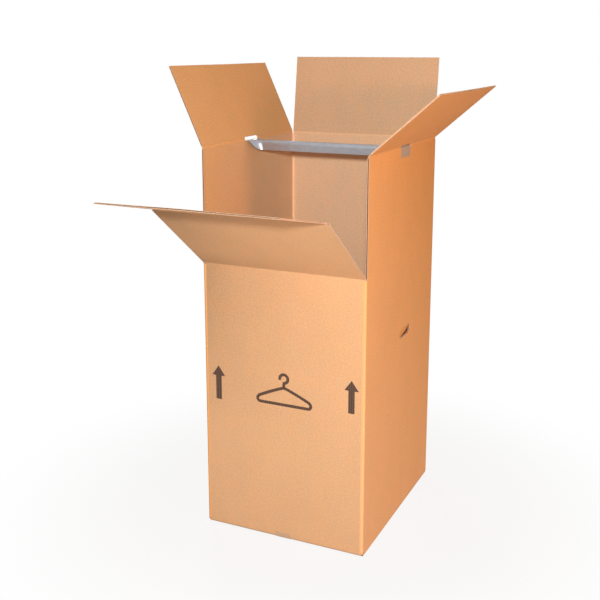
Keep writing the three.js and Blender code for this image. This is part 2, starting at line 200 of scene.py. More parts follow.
class Shader:
    """One node-based material, or the world."""

    def __init__(self, name, world=False):
        self.data = (bpy.data.worlds if world else bpy.data.materials).new(name)
        self.data.use_nodes = True
        self.tree = self.data.node_tree
        self.tree.nodes.clear()

    def node(self, kind, settings=None, inputs=None, out=0):
        """Adds a node, sets its settings first and its sockets after, and returns one output."""
        made = self.tree.nodes.new(kind)
        for key, value in (settings or {}).items():
            setattr(made, key, value)
        for key, value in (inputs or {}).items():
            if isinstance(value, Sock):
                self.tree.links.new(value.socket, made.inputs[key])
            else:
                made.inputs[key].default_value = value
        return Sock(self, made.outputs[out]) if made.outputs else made

    def uv(self, name="board"):
        return self.node("ShaderNodeUVMap", {"uv_map": name})

    def place(self):
        return self.node("ShaderNodeTexCoord", out="Object")

    def attribute(self, name):
        return self.node("ShaderNodeAttribute", {"attribute_name": name}, out="Fac")

    def scaled(self, vector, *scale):
        return self.node("ShaderNodeMapping", {"vector_type": "POINT"}, {"Vector": vector, "Scale": scale})

    def noise(self, vector, scale, detail=2.0, roughness=0.5):
        return self.node(
            "ShaderNodeTexNoise", {},
            {"Vector": vector, "Scale": scale, "Detail": detail, "Roughness": roughness})

    def split(self, vector, axis):
        return self.node("ShaderNodeSeparateXYZ", {}, {0: vector}, out=axis)

    def mix(self, factor, first, second, blend="MIX"):
        return self.node(
            "ShaderNodeMix", {"data_type": "RGBA", "blend_type": blend},
            {0: factor, 6: first, 7: second}, out=2)

    def seen(self):
        """1 for the rays that show the surface itself, to the camera or in a reflection, else 0."""
        return sum(self.node("ShaderNodeLightPath", out=ray) for ray in (
            "Is Camera Ray", "Is Glossy Ray", "Is Transmission Ray"))

    def bump(self, height, strength, distance):
        return self.node(
            "ShaderNodeBump", {}, {"Strength": strength, "Distance": distance, "Height": height})

    def surface(self, **sockets):
        """The Principled surface and the output; names are written with _ for a space."""
        inputs = {key.replace("_", " "): value for key, value in sockets.items()}
        self.finish(self.node("ShaderNodeBsdfPrincipled", {}, inputs))
        return self.data

    def finish(self, result):
        """Adds the output node and joins the tree's result to it."""
        kind = "World" if isinstance(self.data, bpy.types.World) else "Material"
        self.node("ShaderNodeOutput" + kind, {}, {"Surface": result})


def shaded(colour, factor):
    """A colour made darker or lighter by a factor."""
    return tuple(np.array(colour[:3]) * factor) + (1.0,)


def kraft_finish(name, pale, warm, pitch, washboard):
    """Kraft paper on board: fibres, specks, soft blotches and the faint lines of the flutes."""
    s = Shader(name)
    flat = s.uv()
    blotch = s.noise(s.scaled(flat, 1, 0.6, 1), 9.0, 3.0, 0.55)
    drift = s.noise(s.scaled(flat, 1, 0.7, 1), 23.0, 3.0, 0.6).step(0.35, 0.65)
    mottle = s.noise(s.scaled(flat, 1, 1.3, 1), 170.0, 2.0, 0.6)
    grain = s.noise(s.scaled(flat, 1, 1.6, 1), 420.0, 3.0, 0.7)
    fibre = s.noise(s.scaled(flat, 0.16, 1, 1), 1300.0, 3.0, 0.6)
    specks = s.noise(s.scaled(flat, 0.5, 1, 1), 620.0, 1.0).step(0.69, 0.76)
    turn = s.split(flat, "X") * (2 * math.pi / pitch)
    flutes = turn.sin()
    # Painted warm light: the attribute mixes the pale kraft towards the orange kraft where the warm side
    # light falls
    base = s.mix(s.attribute("painted_warmth"), tuple(pale), tuple(warm))
    level = 0.945 + 0.11 * blotch + 0.42 * (mottle - 0.5) + 0.30 * (grain - 0.5) + 0.06 * (fibre - 0.5)
    # The last term adds painted shade and painted highlights, and the lighter crease and score lines
    level = level + 0.006 * flutes - 0.12 * specks + 0.10 * s.attribute("shading_and_creases")
    shift = 0.035 * (drift - 0.5)
    grey = s.node("ShaderNodeCombineColor", {}, {0: level + shift, 1: level, 2: level - shift})
    tint = s.mix(1.0, base, grey, "MULTIPLY")
    height = washboard * flutes + 0.5 * fibre + 0.35 * grain
    return s.surface(
        Base_Color=tint,
        Roughness=0.80 + 0.12 * grain,
        Specular_IOR_Level=0.28,
        Normal=s.bump(height, 0.55, 0.22 * MM))


def cut_finish(name, colour, rough):
    """Bare cut or fluted paper: short fuzzy fibres and uneven light and dark."""
    s = Shader(name)
    place = s.place()
    fuzz = s.noise(place, 900.0, 3.0, 0.7)
    patch = s.noise(place, 60.0, 2.0)
    tint = s.mix(fuzz.step(0.35, 0.7), shaded(colour, 0.86), shaded(colour, 1.08))
    tint = s.mix(0.5 * patch.step(0.4, 0.75), tint, shaded(colour, 0.78))
    return s.surface(
        Base_Color=tint,
        Roughness=rough,
        Specular_IOR_Level=0.2,
        Normal=s.bump(fuzz, 0.8, 0.3 * MM))


def ink_finish(colours, pitch):
    """Flexo ink that lets some kraft through where the flutes fall away from the plate."""
    s = Shader("print_ink")
    flat = s.uv()
    worn = s.noise(flat, 420.0, 4.0, 0.75).step(0.60, 0.78)
    lines = (s.split(flat, "X") * (2 * math.pi / pitch)).sin().step(0.2, 1.0)
    bare = worn * 0.55 + 0.10 * lines
    tint = s.mix(bare, tuple(colours.ink), shaded(colours.kraft, 0.9))
    return s.surface(
        Base_Color=tint, Roughness=0.62 + 0.2 * worn, Specular_IOR_Level=0.3,
        Normal=s.bump(worn, 0.3, 0.1 * MM))


def steel_finish(colours):
    """Galvanised strip: soft crystal patches, fine rolling lines along the bar and dull smears."""
    s = Shader("bar_steel")
    place = s.place()
    crystals = s.node(
        "ShaderNodeTexVoronoi", {"feature": "F1"},
        {"Vector": s.scaled(place, 1, 2.2, 2.2), "Scale": 85.0}, out="Color")
    crystal = s.node("ShaderNodeSeparateColor", {}, {0: crystals}, out=0)
    rolling = s.noise(s.scaled(place, 0.04, 1, 1), 1500.0, 3.0, 0.6)
    smear = s.noise(s.scaled(place, 0.5, 1, 1), 30.0, 3.0, 0.6)
    tint = s.mix(crystal, shaded(colours.steel, 0.93), shaded(colours.steel, 1.05))
    tint = s.mix(smear.step(0.55, 0.8) * 0.4, tint, shaded(colours.steel, 0.8))
    dusty = s.attribute("dust") * (0.85 + 0.15 * smear)
    return s.surface(
        Base_Color=s.mix(dusty, tint, tuple(colours.dust)),
        Metallic=0.9 - 0.8 * dusty,
        Roughness=0.30 + 0.12 * rolling + 0.10 * smear + 0.3 * dusty,
        Normal=s.bump(rolling + 0.4 * crystal, 0.25, 0.08 * MM))


def tape_finish(colours):
    """Thin brown film: glossy, with long soft wrinkles and small trapped bubbles."""
    s = Shader("tape_film")
    place = s.place()
    wrinkle = s.noise(s.scaled(place, 3.0, 1, 1), 60.0, 3.0, 0.6)
    bubbles = s.noise(place, 420.0, 1.0).step(0.62, 0.72)
    tint = s.mix(bubbles * 0.6, tuple(colours.tape), shaded(colours.tape, 1.15))
    return s.surface(
        Base_Color=tint, Roughness=0.24 + 0.2 * wrinkle, Specular_IOR_Level=0.5,
        Normal=s.bump(wrinkle + 0.2 * bubbles, 0.5, 0.3 * MM))


# Meshes


def grid_quads(rows, columns, keep=None, first=0):
    """Quads of a grid of rows and columns, counted row by row; keep says which cells exist."""
    ids = first + np.arange(rows * columns).reshape(rows, columns)
    quads = np.stack([ids[:-1, :-1], ids[:-1, 1:], ids[1:, 1:], ids[1:, :-1]], -1)
    return quads.reshape(-1, 4) if keep is None else quads[keep]


def open_edges(quads):
    """The directed edges that only one quad uses, as pairs of point numbers."""
    ends = np.concatenate([quads[:, [k, (k + 1) % 4]] for k in range(4)])
    size = quads.max() + 1
    there = ends[:, 0] * size + ends[:, 1]
    back = ends[:, 1] * size + ends[:, 0]
    return ends[~np.isin(there, back)]


def unit(vectors):
    """Vectors brought to length one."""
    return vectors / np.maximum(np.linalg.norm(vectors, axis=-1, keepdims=True), 1e-12)


def make_object(name, points, quads, kinds, finishes, uv=None, values=None, smooth_angle=35):
    """A mesh object from whole arrays: points, quads, the number of each quad's finish in the list
    of finishes, and for each point its place on the texture and named values for the shaders."""
    mesh = bpy.data.meshes.new(name)
    mesh.from_pydata(points.astype(float).tolist(), [], quads.tolist())
    for finish in finishes:
        mesh.materials.append(finish)
    mesh.polygons.foreach_set("material_index", np.asarray(kinds, np.int32))
    if uv is not None:
        layer = mesh.uv_layers.new(name="board")
        corners = np.zeros(len(mesh.loops), np.int32)
        mesh.loops.foreach_get("vertex_index", corners)
        layer.data.foreach_set("uv", uv[corners].astype(np.float32).ravel())
    for key, numbers in (values or {}).items():
        attribute = mesh.attributes.new(key, "FLOAT", "POINT")
        attribute.data.foreach_set("value", numbers.astype(np.float32))
    mesh.polygons.foreach_set("use_smooth", np.ones(len(mesh.polygons), bool))
    mesh.update()
    mesh.set_sharp_from_angle(angle=math.radians(smooth_angle))
    made = bpy.data.objects.new(name, mesh)
    bpy.context.scene.collection.objects.link(made)
    return made


def board_piece(name, outer, inner, flat, quads, sizes, finishes, painted_warmth=0.0, shading_and_creases=None,
                rough=None, extras=(), recess=None, hollow=None):
    """A piece of corrugated board from its two faces.

    outer and inner are the points of the two liners' faces, in pairs. Each open edge is closed by a
    profile carried along it: liner, a step down to the fluting, and the other liner. At a point the
    step runs along the sum of its two edges' inward directions, times two over the sum's square, so
    that it keeps its depth round a corner. rough marks the points whose liner edges are a little torn,
    and hollow those at an open flute; without it, every edge lies at one.
    """
    count = len(outer)
    quads = np.asarray(quads)
    recess = sizes.recess if recess is None else recess
    edges = open_edges(quads)
    normal = unit(outer - inner)
    middle = (outer + inner) / 2
    start, stop = edges.T
    inward = unit(np.cross((normal[start] + normal[stop]) / 2, middle[stop] - middle[start]))
    total = np.zeros_like(outer)
    np.add.at(total, start, inward)
    np.add.at(total, stop, inward)
    total = 2 * total / np.maximum((total ** 2).sum(-1, keepdims=True), 1e-9)
    rim = np.unique(edges)
    if rough is not None:
        torn = rim[rough[rim]]
        draw = np.random.default_rng(len(name) + count)
        outer, inner = outer.copy(), inner.copy()
        outer[torn] += total[torn] * draw.uniform(0, 0.35 * MM, (len(torn), 1))
        inner[torn] += total[torn] * draw.uniform(0, 0.35 * MM, (len(torn), 1))
    share = sizes.liner / sizes.board
    shares = (share, share, 1 - share, 1 - share)
    depths = (0, recess, recess, 0)
    rings = [outer[rim] + (inner[rim] - outer[rim]) * t + total[rim] * d for t, d in zip(shares, depths)]
    place = np.full(count, -1)
    place[rim] = np.arange(len(rim))
    points = np.concatenate([outer, inner, *rings])
    ring_ids = [2 * count + k * len(rim) + place for k in range(4)]
    ring_ids = [np.arange(count), *ring_ids, count + np.arange(count)]
    walls = [
        np.stack([low[stop], low[start], high[start], high[stop]], -1)
        for low, high in zip(ring_ids, ring_ids[1:])]
    lip = np.full(len(edges), 2)
    deep = np.full(len(edges), 4) if hollow is None else np.where(hollow[edges].all(1), 4, 3)
    wall_kinds = [lip, lip, deep, lip, lip]
    faces = [quads, quads[:, ::-1] + count, *walls]
    kinds = [np.zeros(len(quads), int), np.ones(len(quads), int), *wall_kinds]
    uv = np.concatenate([flat, flat, *[flat[rim]] * 4])
    # Per point: the share of painted warm light, and the painted light and shade on the outer and inner face
    warmth_per_point = np.broadcast_to(np.asarray(painted_warmth, float), (count,))
    outer_shading, inner_shading = np.broadcast_to(0.0 if shading_and_creases is None else shading_and_creases, (2, count))
    values = {
        "painted_warmth": np.concatenate([warmth_per_point, warmth_per_point, *[warmth_per_point[rim]] * 4]),
        "shading_and_creases": np.concatenate([outer_shading, inner_shading, *[outer_shading[rim]] * 4]),
    }
    for extra_points, extra_quads in extras:
        faces.append(extra_quads + len(points))
        kinds.append(np.full(len(extra_quads), 3))
        points = np.concatenate([points, extra_points])
        uv = np.concatenate([uv, np.zeros((len(extra_points), 2))])
        values = {key: np.concatenate([v, np.zeros(len(extra_points))]) for key, v in values.items()}
    return make_object(name, points, np.concatenate(faces), np.concatenate(kinds), finishes, uv, values)


def wavy_ribbon(start, end, across, inward, pitch, swing, paper, depth):
    """The fluted paper seen at a cut end: a strip along start to end whose height is
    swing times the sine of the way over the pitch, carried inwards to depth, with closed ends."""
    length = np.linalg.norm(end - start)
    steps = int(length / pitch * 8)
    way = np.linspace(0, length, steps + 1)
    turn = 2 * np.pi * way / pitch
    height = swing * np.sin(turn)
    slope = swing * 2 * np.pi / pitch * np.cos(turn)
    lift = paper / 2 * np.sqrt(1 + slope ** 2)
    line = start + (end - start) * (way / length)[:, None]
    corners = [
        line + across * (height + lift)[:, None],
        line + across * (height - lift)[:, None],
        line + across * (height - lift)[:, None] + inward * depth,
        line + across * (height + lift)[:, None] + inward * depth,
    ]
    points = np.stack(corners, 1).reshape(-1, 3)
    ids = np.arange(len(points)).reshape(-1, 4)
    sides = [
        np.stack([ids[:-1, k], ids[:-1, near], ids[1:, near], ids[1:, k]], -1)
        for k, near in enumerate((1, 2, 3, 0))]
    caps = np.array([ids[0, ::-1], ids[-1]])
    quads = np.concatenate([*sides, caps])
    span = points[quads[:, 1]] - points[quads[:, 0]]
    facing = np.cross(span, points[quads[:, 3]] - points[quads[:, 0]])
    middle = points.reshape(-1, 4, 3).mean(1)
    centre = middle[np.clip(quads.min(1) // 4, 0, len(middle) - 1)]
    if ((points[quads].mean(1) - centre) * facing).sum() < 0:
        quads = quads[:, ::-1]
    return points, quads


def stops(low, high, step, *given):
    """Evenly spaced places from low to high, with the given places among them."""
    inside = [g for g in given if low < g < high]
    marks = np.unique([low, high, *inside])
    runs = [np.linspace(a, b, max(1, math.ceil((b - a) / step)) + 1) for a, b in zip(marks, marks[1:])]
    return np.unique(np.round(np.concatenate(runs), 7))


# Folds


class Fold:
    """A fold line: its middle, the way along it, the wall's direction, outwards, and the angle at rest."""

    def __init__(self, joint, up, out, limit):
        facts = next(j for j in frame["joints"] if j["name"] == joint)
        self.middle = np.array(facts["pos_m"], float)
        self.up = np.array(up, float)
        self.out = np.array(out, float)
        self.along = np.cross(self.up, self.out)
        self.angle = math.radians(limit - facts["range_deg"][1])
        self.bodies = (facts["parent"], facts["child"])
        self.flap_up = self.up * math.cos(self.angle) + self.out * math.sin(self.angle)
        self.flap_out = self.out * math.cos(self.angle) - self.up * math.sin(self.angle)

    def on_flap(self, along, away, offset):
        """Points on the flap, from the place along the fold, away from it and outwards."""
        along, away, offset = np.broadcast_arrays(along, away, offset)
        return (self.middle + along[..., None] * self.along + away[..., None] * self.flap_up
                + offset[..., None] * self.flap_out)

    def bend(self, along, share, offset):
        """Points on the crushed board across the fold. The middle follows a quadratic curve from
        the wall to the flap with the fold line as its control point; share runs from 0 to 1."""
        along, share, offset = np.broadcast_arrays(along, share, offset)
        first = -CRUSH * self.up
        last = CRUSH * self.flap_up
        line = ((1 - share) ** 2)[..., None] * first + (share ** 2)[..., None] * last
        way = (share - 1)[..., None] * first + share[..., None] * last
        normal = unit(np.cross(self.along, unit(way)))
        return self.middle + along[..., None] * self.along + line + normal * offset[..., None]


FOLDS = {
    "left": Fold("left_flap_fold", (0, 0, 1), (-1, 0, 0), WALL_FOLD_LIMIT),
    "right": Fold("right_flap_fold", (0, 0, 1), (1, 0, 0), WALL_FOLD_LIMIT),
    "back": Fold("back_flap_fold", (0, 0, 1), (0, 1, 0), WALL_FOLD_LIMIT),
    "drop": Fold("drop_front_fold", (0, 0, 1), (0, -1, 0), WALL_FOLD_LIMIT),
}
FOLDS["front"] = Fold(
    "front_flap_fold", FOLDS["drop"].flap_up, FOLDS["drop"].flap_out, PANEL_FOLD_LIMIT)


def fold_strip(name, fold, low, high, sizes, finishes, painted_warmth, shade=None):
    """The bent board across a fold, little over half as thick at the crease."""
    columns = stops(low, high, 12 * MM)
    share = np.linspace(0, 1, 13)
    along, part = np.meshgrid(columns, share)
    away = (part - 0.5) * 2 * CRUSH
    half = sizes.board / 2 * (1 - 0.42 * np.exp(-(away / (4.4 * MM)) ** 8))
    outer = fold.bend(along, part, half).reshape(-1, 3)
    inner = fold.bend(along, part, -half).reshape(-1, 3)
    flat = np.stack([along, away], -1).reshape(-1, 2)
    quads = grid_quads(len(share), len(columns))
    shading_and_creases = np.zeros((2, *along.shape)) if shade is None else shade(along, away)
    shading_and_creases = (shading_and_creases + np.exp(-(away / (2.2 * MM)) ** 2)).reshape(2, -1)
    piece = board_piece(
        name, outer, inner, flat, quads, sizes, finishes, painted_warmth, shading_and_creases, recess=0.8 * MM,
        hollow=np.zeros(len(outer), bool))
    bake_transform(piece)
    return piece


def flap_piece(name, fold, half, length, bow, sizes, finishes, painted_warmth, node, slotted=False, cut_end=True,
               scores=(), shade=None, open_sides=False):
    """A flap from beyond its fold to its far edge. It bows out of flat by bow times the sine of the
    way across and the smooth rise away from the fold, with a lesser second wave. shade gives the
    painted shade on its outer and inner face; each score is a pressed line across it. Its flutes lie
    open at the far edge, and with open_sides along its sides too."""
    gap = SLOT_HALF if slotted else 0
    columns = stops(-half, half, 9 * MM, -gap, gap)
    lines = [score + step for score in scores for step in (-1.2 * MM, 0, 1.2 * MM)]
    rows = stops(CRUSH, length, 9 * MM, SLOT_REACH, *lines)
    along, away = np.meshgrid(columns, rows)
    shading_and_creases = np.zeros((2, *along.shape)) if shade is None else shade(along, away)
    shading_and_creases = shading_and_creases + sum(0.45 * np.exp(-((away - score) / MM) ** 2) for score in scores)
    shading_and_creases = shading_and_creases.reshape(2, -1)
    rise = (away - CRUSH) / (length - CRUSH)
    rise = rise if cut_end else np.sin(np.pi * rise)
    wave = 0.75 + 0.25 * np.sin(5.3 * along / half + 2.0 * rise)
    offset = bow * np.cos(np.pi * along / half / 2) * rise * wave
    outer = fold.on_flap(along, away, offset + sizes.board / 2).reshape(-1, 3)
    inner = fold.on_flap(along, away, offset - sizes.board / 2).reshape(-1, 3)
    centre_along = (along[:-1, :-1] + along[1:, 1:]) / 2
    centre_away = (away[:-1, :-1] + away[1:, 1:]) / 2
    keep = (np.abs(centre_along) > gap) | (centre_away > SLOT_REACH)
    rough = ((away > CRUSH + MM) & (away < length + (MM if cut_end else -MM))).ravel()
    flat = np.stack([along, away + FLAP_PAPER], -1).reshape(-1, 2)
    extras = []
    if cut_end:
        tip = 0.15 * MM
        swing = sizes.board / 2 - sizes.liner - 0.15 * MM
        reach = half - sizes.recess
        ends = fold.on_flap(np.array([-reach, reach]), length - tip, 0.0)
        extras.append(wavy_ribbon(
            *ends, fold.flap_out, -fold.flap_up, sizes.pitch, swing, 0.42 * MM, sizes.recess - tip))
    piece = board_piece(
        name, outer, inner, flat, grid_quads(len(rows), len(columns), keep), sizes, finishes,
        painted_warmth, shading_and_creases, rough=rough, extras=extras,
        hollow=None if open_sides else (away > length - MM).ravel())
    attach(piece, fold.bodies[1])
    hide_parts(node)
    return piece


def back_flap_shade(along, away):
    """Painted shade: the back flap is evenly a little darker than the walls, on both faces."""
    return np.full((2, *along.shape), -1.4)


def drop_front_shade(along, away):
    """Painted shade on the drop front, darker towards its left side: on its outer face as the wall below
    it is near the fold, and by the cube of the way to the left further up; on its inner face by the
    square of that way."""
    to_left = 1 - along / HALF_WIDTH
    rise = np.clip(away / PANEL_LENGTH, 0, 1)
    as_wall = np.exp(-(away / (70 * MM)) ** 2)
    further_up = 0.2 - (0.14 + 0.5 * rise) * np.minimum(to_left, 1.8) ** 3
    outer = -0.8 * to_left ** 2 * as_wall + further_up * (1 - as_wall)
    return np.stack([outer, -0.3 * to_left ** 2])


# Carton walls


WALLS = {
    "back": ((0, 1), (-1, 0)),
    "left": ((-1, 0), (0, -1)),
    "front": ((0, -1), (1, 0)),
    "right": ((1, 0), (0, 1)),
}


def wall_half(wall):
    """Half the length of a wall's flat stretch between its corners."""
    return (HALF_WIDTH if wall in ("front", "back") else HALF_DEPTH) - 5 * MM


def wall_relief(wall, along, height, sizes):
    """How far a wall stands outwards: a broad bulge, zero at corners and folds, and a slow wave."""
    half = wall_half(wall)
    top = DROP_FOLD if wall == "front" else END_FOLD
    across = np.cos(np.pi * np.clip(along / half, -1, 1) / 2)
    upright = np.sin(np.pi * np.clip(height / top, 0, 1))
    slow = np.sin(9.0 * along + 4.0 * height + len(wall)) * np.sin(6.0 * height - 3.0 * along)
    return sizes.wave * across * upright * (0.8 + 0.5 * slow)


def wall_colour(points):
    """How much painted warm light and painted light and shade the paper has at each point. Each
    wall has its own amounts, which change with the height and the place across; the front is
    darkest high up at its left."""
    x, y = points[:, 0] / HALF_WIDTH, points[:, 1] / HALF_DEPTH
    rise = np.clip(points[:, 2] / TOP_FOLD, 0, 1)
    right, left, front = x > 0.96, x < -0.96, y < -0.96
    high = np.clip((rise - 0.2) / 0.5, 0, 1)
    high = high * high * (3 - 2 * high)
    # Painted warm light: more on the right wall higher up and towards its back, more on the left wall towards
    # its front, a little on the front higher up
    painted_warmth = np.select(
        [right, left, front], [0.30 + 0.55 * rise + 0.12 * y, 0.40 - 0.30 * y, 0.02 + 0.10 * rise], 0.0)
    # Painted light and shade: the right wall lighter low down and darker high up towards its back, the left
    # wall a little lighter, the front darker high up towards its left
    shading_and_creases = np.select(
        [right, left, front],
        [2.1 - 1.2 * rise - 1.1 * rise * (1 + y), 0.3, -0.8 * high * (1 - x) ** 2], 0.0)
    return np.clip(painted_warmth, 0, 1), shading_and_creases


def on_wall(wall, along, height, offset, sizes):
    """Points on a wall; offset is 0 at its outer face and negative inwards."""
    normal, way = (np.array(v, float) for v in WALLS[wall])
    reach = HALF_WIDTH if wall in ("left", "right") else HALF_DEPTH
    lift = reach + offset + wall_relief(wall, along, height, sizes)
    flat = normal * lift[..., None] + way * np.broadcast_to(along, lift.shape)[..., None]
    return np.concatenate([flat, np.broadcast_to(height, lift.shape)[..., None]], -1)


# Painted light and shade on the upright corners outside, a painted highlight on the bead inside, and how far
# the bead bulges
CORNER_SHADE_AND_HIGHLIGHT = {"corner_left": 0.4, "corner_front": -2.4, "corner_right": 0.9}
CORNER_BEAD_HIGHLIGHT = {"corner_left": 0.6, "corner_front": 0.3, "corner_right": 0.3}
BEAD_RISE = 1.1 * MM

# Bottom flaps, bottom bends outside and inside, feet of the walls' faces, and the glued tab
BOTTOM_FLAP_HALF = 302.4 * MM
BOTTOM_SEAM_HALF = 1 * MM
BOTTOM_BENDS = (3.5 * MM, 2 * MM)
WALL_FEET = (7.8 * MM, 10.3 * MM)
GLUE_TAB_WIDTH = 38 * MM
GLUE_TAB_THICKNESS = 3.6 * MM

# Hand holes, where each is along its wall, and the patch of finer mesh round each
HOLE_HALF = 48 * MM
HOLE_RADIUS = 15 * MM
HOLE_HEIGHT = 594 * MM
HOLE_PLACE = {"left": -26 * MM, "right": 26 * MM}
PATCH_HALF = 60 * MM
PATCH_RISE = 27 * MM


def hole_outline(way):
    """Points on the hand hole's stadium outline, by the way round it from the middle of its lower
    left quarter bend: a circle whose centre runs right below and left above."""
    straight = HOLE_HALF - HOLE_RADIUS
    quarter = HOLE_RADIUS * np.pi / 2
    stages = np.cumsum([0, quarter, 2 * straight, 2 * quarter, 2 * straight, quarter])
    way = (way + quarter / 2) % stages[-1]
    turn = np.interp(way, stages, np.pi * np.array([1, 1.5, 1.5, 2.5, 2.5, 3]))
    centre = np.interp(way, stages, straight * np.array([-1, -1, 1, 1, -1, -1]))
    return centre + HOLE_RADIUS * np.cos(turn), HOLE_RADIUS * np.sin(turn)


def carton_columns(sizes):
    """Upright lines of the sheet from the glued tab round to the right wall's cut edge.

    Each has its wall or corner name, its place along the wall, and the plan points of both faces.
    A corner's outer face is an arc; its inner face is a quadratic curve through the corner bead."""
    board, corner, bead = sizes.board, sizes.corner, sizes.bead
    columns = []

    def add(kind, along, outer, inner):
        columns.append((kind, along, np.array(outer), np.array(inner)))

    def bend(steps):
        for turn in np.linspace(0, 90, steps)[1:-1]:
            yield turn, math.cos(math.radians(turn)), math.sin(math.radians(turn))

    tab_face = HALF_WIDTH - board
    tab_end = HALF_DEPTH - board
    for along in np.linspace(tab_end - GLUE_TAB_WIDTH, tab_end - 4 * MM, 5):
        add("tab", along, (tab_face, along), (tab_face - GLUE_TAB_THICKNESS, along))
    for turn, c, s in bend(6):
        add("tab_bend", turn, (tab_face - 4 * MM + 4 * MM * c, HALF_DEPTH - 4 * MM + 4 * MM * s),
            (tab_face - 5.5 * MM + 1.4 * MM * c, HALF_DEPTH - 5.5 * MM + 1.4 * MM * s))
    order = ("back", "left", "front", "right")
    for wall, after in zip(order, (*order[1:], None)):
        normal, way = (np.array(v, float) for v in WALLS[wall])
        reach = HALF_WIDTH if wall in HOLE_PLACE else HALF_DEPTH
        half = wall_half(wall)
        low = -(tab_face - 4 * MM) if wall == "back" else -half
        high = tab_end - 0.4 * MM if wall == "right" else half
        given = [half - 3.4 * MM, half - 6.5 * MM]
        if wall in HOLE_PLACE:
            given += [SIDE_FLAP_HALF, BOTTOM_FLAP_HALF, SLOT_HALF, SLOT_HALF - 0.5 * MM]
        else:
            given.append(END_FLAP_HALF)
        marks = stops(low, high, 10 * MM, *given, *(-place for place in given))
        if wall in HOLE_PLACE:
            shift = HOLE_PLACE[wall]
            patch = np.linspace(shift - PATCH_HALF, shift + PATCH_HALF, 25)
            outside = np.abs(marks - shift) > PATCH_HALF + MM
            keep = outside | (np.abs(np.abs(marks) - SLOT_HALF) < MM)
            marks = np.unique(np.round(np.concatenate([marks[keep], patch]), 7))
        for along in marks:
            add(wall, along, normal * reach + way * along, normal * (reach - board) + way * along)
        if after is None:
            break
        next_normal, next_way = (np.array(v, float) for v in WALLS[after])
        centre = normal * (reach - corner) + way * half
        inside = normal * (reach - board) + way * (half + corner - board)
        start = inside - way * (corner - board)
        stop = inside + next_way * (corner - board)
        pull = inside - (way - next_way) * bead * 0.6
        for turn, c, s in bend(8):
            t = turn / 90
            add("corner_" + after, turn, centre + corner * (normal * c + next_normal * s),
                (1 - t) ** 2 * start + 2 * t * (1 - t) * pull + t ** 2 * stop)
    return columns


def wall_heights():
    """Heights of the walls' rows; between the lower and upper side of the patches they are closer."""
    patch = np.linspace(HOLE_HEIGHT - PATCH_RISE, HOLE_HEIGHT + PATCH_RISE, 13)
    heights = stops(
        22 * MM, TOP_FOLD - CRUSH, 14 * MM, DROP_FOLD - CRUSH, END_FOLD - CRUSH, patch[0], patch[-1])
    heights = heights[np.abs(heights - HOLE_HEIGHT) > PATCH_RISE + 0.1 * MM]
    return np.sort(np.concatenate([heights, patch]))


def sheet_faces(kinds, plans, heights, board):
    """The outer and inner face as grids of points, and each point's way up the paper, in rows from
    the bottom flaps' edges, round the bottom bends and up the walls. plans holds the columns' plan
    points on both faces. The last value is the number of the first wall row."""
    ends = np.isin(kinds, ["front", "back"])
    base = np.where(ends, LAYER, 0.0)
    normals = np.array([WALLS[k][0] if k in WALLS else (0, 0) for k in kinds], float)
    flap_end = np.where(ends, 2 * MM + END_FLAP_LENGTH, HALF_WIDTH - BOTTOM_SEAM_HALF)
    faces, up_paper = ([], []), []

    def add_row(depths, rises, up):
        for rows, plan, depth, rise in zip(faces, plans, depths, rises):
            spot = plan - normals * np.broadcast_to(depth, kinds.shape)[:, None]
            rows.append(np.column_stack([spot, np.broadcast_to(rise, kinds.shape)]))
        up_paper.append(np.broadcast_to(up, kinds.shape))

    bend, inner_bend = BOTTOM_BENDS
    for share in np.linspace(1, 0, 26):
        depth = bend + (flap_end - bend) * share
        inner_depth = inner_bend + (flap_end - board - inner_bend) * share
        add_row((depth, inner_depth), (base, base + board), -depth)
    for turn in np.radians(np.linspace(0, 90, 6)[1:]):
        depth, rise = 1 - math.sin(turn), 1 - math.cos(turn)
        add_row((bend * depth, inner_bend * depth),
                (base + bend * rise, base + board + inner_bend * rise), -bend * depth)
    first = len(up_paper)
    add_row((0, 0), (WALL_FEET[0] + 0.2 * MM, WALL_FEET[1] + 0.2 * MM), WALL_FEET[0])
    for height in heights:
        add_row((0, 0), (height, height), height)
    return np.array(faces[0]), np.array(faces[1]), np.array(up_paper), first


def shape_walls(outer, inner, kinds, along, first, sizes):
    """Moves points of both grids: the walls' relief, the inner face's bulge at each bead, the slots'
    floor, and the slanted ends of the glued tab."""
    for wall, (normal, _) in WALLS.items():
        cols = kinds == wall
        lift = wall_relief(wall, along[cols], outer[first:, cols, 2], sizes)
        push = np.append(np.array(normal, float), 0)
        outer[first:, cols] += lift[..., None] * push
        near = np.clip(1 - (wall_half(wall) - np.abs(along[cols])) / sizes.bead, 0, 1)
        bulge = BEAD_RISE * near * near * (3 - 2 * near)
        inner[first + 1:, cols] += (lift[1:] - bulge)[..., None] * push
    slot = np.isin(kinds, list(HOLE_PLACE)) & (np.abs(along) < SLOT_HALF - 0.4 * MM)
    tab = kinds == "tab"
    slant = np.linspace(24 * MM, 14 * MM, tab.sum())
    foot, top = WALL_FEET[0], END_FOLD - CRUSH
    for grid in (outer, inner):
        grid[-1, slot, 2] = SLOT_FLOOR
        share = (grid[first:, tab, 2] - foot) / (top - foot)
        grid[first:, tab, 2] = slant + share * (top - 2 * slant)


